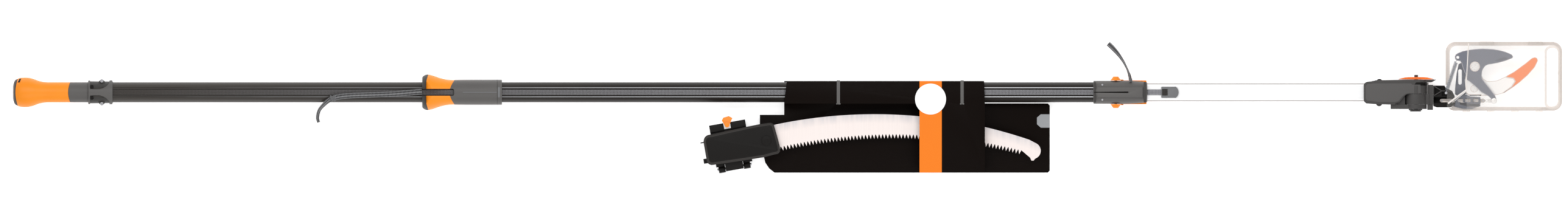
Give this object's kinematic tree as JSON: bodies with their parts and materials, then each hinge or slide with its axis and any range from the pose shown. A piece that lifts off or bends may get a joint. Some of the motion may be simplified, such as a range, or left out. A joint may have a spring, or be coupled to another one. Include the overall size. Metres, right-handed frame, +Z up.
{
  "type": "telescoping pole saw",
  "caption": "Telescoping pole with slide grip and pull-operated pruner head in a clear guard, carrying a curved pruning saw with pole clamp on a card carrier.",
  "frame": {"origin": "centre of the butt knob's flat end face, on the pole's axis", "axes": "+X along the pole towards the pruner head, +Y across it towards the cutting blade's side, +Z up"},
  "size_m": [2.4178, 0.2067, 0.0556],
  "materials": {
    "tube_black": "satin powder coat",
    "alloy_white": "clear anodised",
    "alloy_tube": "drawn",
    "strap": "flat braid",
    "plastic_grey": "fine spark texture",
    "plastic_dark": "fine spark texture",
    "plastic_black": "soft satin",
    "plastic_orange": "satin",
    "plastic_red_orange": "satin",
    "steel": "plated",
    "spring_steel": "plated wire",
    "chain_steel": "plated",
    "blade_coated": "low friction coating",
    "blade_bright": "ground",
    "blade_orange": "satin",
    "saw_steel": "ground across",
    "guard_clear": "frosted clear",
    "card_black": "coated board",
    "card_orange": "coated",
    "card_white": "coated",
    "card_grey": "coated"
  },
  "bodies": {
    "pole": {"outer_tube": "tube_black", "groove_strap": "strap", "butt_sleeve": "plastic_grey", "butt_collar": "plastic_dark", "collar_screws": "steel", "clamp_shell_upper": "plastic_grey", "clamp_shell_lower": "plastic_grey", "clamp_screws": "steel", "lever_pins": "steel", "clamp_tail": "strap", "card_back": "card_black", "card_front": "card_black", "card_band": "card_orange", "card_disc": "card_white", "card_badge": "card_grey", "cable_ties": "plastic_grey"},
    "butt_knob": {"knob_shell": "plastic_orange", "knob_cap": "plastic_dark", "knob_stem": "alloy_tube"},
    "slide_grip": {"grip_flare": "plastic_orange", "grip_rim": "plastic_dark", "grip_sleeve": "plastic_grey", "grip_liner": "plastic_dark", "grip_tail": "strap"},
    "clamp_lever": {"clamp_lever": "plastic_orange"},
    "inner_pole": {"inner_tube": "alloy_white", "inner_guide_bush": "plastic_dark", "inner_strap": "strap", "strap_tab": "plastic_grey", "head_shell_upper": "plastic_grey", "head_shell_lower": "plastic_grey", "head_screws": "steel", "tilt_bolt": "steel", "tilt_nut": "plastic_dark"},
    "lock_knob": {"lock_knob": "plastic_red_orange"},
    "cutter_head": {"neck_knuckle": "plastic_dark", "cutter_frame": "plastic_dark", "frame_cover": "blade_coated", "chain_guide": "blade_coated", "hook_blade": "blade_bright", "hook_tip": "blade_orange", "pivot_bolt": "steel", "frame_bolt": "steel", "return_spring": "spring_steel", "spring_pin": "steel", "guard_back": "guard_clear", "guard_hinge_pin": "guard_clear"},
    "cutter_blade": {"cutting_blade": "blade_coated", "tail_pin": "steel"},
    "drive_chain": {"drive_chain": "chain_steel", "chain_pins": "chain_steel"},
    "guard_front": {"guard_front": "guard_clear"},
    "saw_unit": {"saw_blade": "saw_steel", "saw_holder_front": "plastic_black", "saw_holder_back": "plastic_black", "saw_screw_cap": "plastic_black", "saw_clamp_bolt": "steel", "saw_jaw_pin": "steel"},
    "saw_clamp_jaw": {"saw_clamp_jaw": "plastic_black"},
    "saw_wing_nut": {"saw_wing_nut": "plastic_orange"}
  },
  "joints": [
    {"name": "blade_close", "type": "hinge", "parent": "cutter_head", "child": "cutter_blade", "pos_m": [2.2815, 0.0402, 0.0015], "axis": [0, 0, -1], "range_deg": [0, 48], "stiffness_Nm_per_rad": 2, "springref_deg": -5.73, "deforming": ["return_spring"]},
    {"name": "chain_pull", "type": "slide", "parent": "cutter_head", "child": "drive_chain", "axis": [-1, 0, 0], "range_m": [0, 0.04869]},
    {"name": "knob_pull", "type": "slide", "parent": "pole", "child": "butt_knob", "axis": [-1, 0, 0], "range_m": [0, 0.2501]},
    {"name": "grip_pull", "type": "slide", "parent": "pole", "child": "slide_grip", "axis": [-1, 0, 0], "range_m": [0, 0.2501]},
    {"name": "pole_extend", "type": "slide", "parent": "pole", "child": "inner_pole", "axis": [1, 0, 0], "range_m": [0, 1.4]},
    {"name": "lever_open", "type": "hinge", "parent": "pole", "child": "clamp_lever", "pos_m": [1.721, 0, 0], "axis": [0, 1, 0], "range_deg": [0, 85]},
    {"name": "head_tilt", "type": "hinge", "parent": "inner_pole", "child": "cutter_head", "pos_m": [2.1898, -0.002, 0], "axis": [0, 1, 0], "range_deg": [-100, 100]},
    {"name": "lock_turn", "type": "hinge", "parent": "inner_pole", "child": "lock_knob", "pos_m": [2.1898, 0.0219, 0], "axis": [0, 1, 0], "range_deg": [0, 90]},
    {"name": "guard_open", "type": "hinge", "parent": "cutter_head", "child": "guard_front", "pos_m": [2.3269, -0.0302, -0.009], "axis": [1, 0, 0], "range_deg": [0, 165]},
    {"name": "saw_slide", "type": "slide", "parent": "pole", "child": "saw_unit", "axis": [-1, 0, 0], "range_m": [0, 0.46]},
    {"name": "jaw_open", "type": "hinge", "parent": "saw_unit", "child": "saw_clamp_jaw", "pos_m": [1.12597, -0.11678, -0.016], "axis": [-0.9848, -0.1736, 0], "range_deg": [0, 70]},
    {"name": "wing_turn", "type": "hinge", "parent": "saw_unit", "child": "saw_wing_nut", "pos_m": [1.11434, -0.05079, 0.009], "axis": [0, 0, 1], "range_deg": [-80, 80]}
  ],
  "couplings": [
    {"joint": "chain_pull", "follows": "blade_close", "m_per_rad": 0.058},
    {"joint": "knob_pull", "follows": "blade_close", "m_per_rad": 0.29842},
    {"joint": "grip_pull", "follows": "blade_close", "m_per_rad": 0.29842}
  ]
}
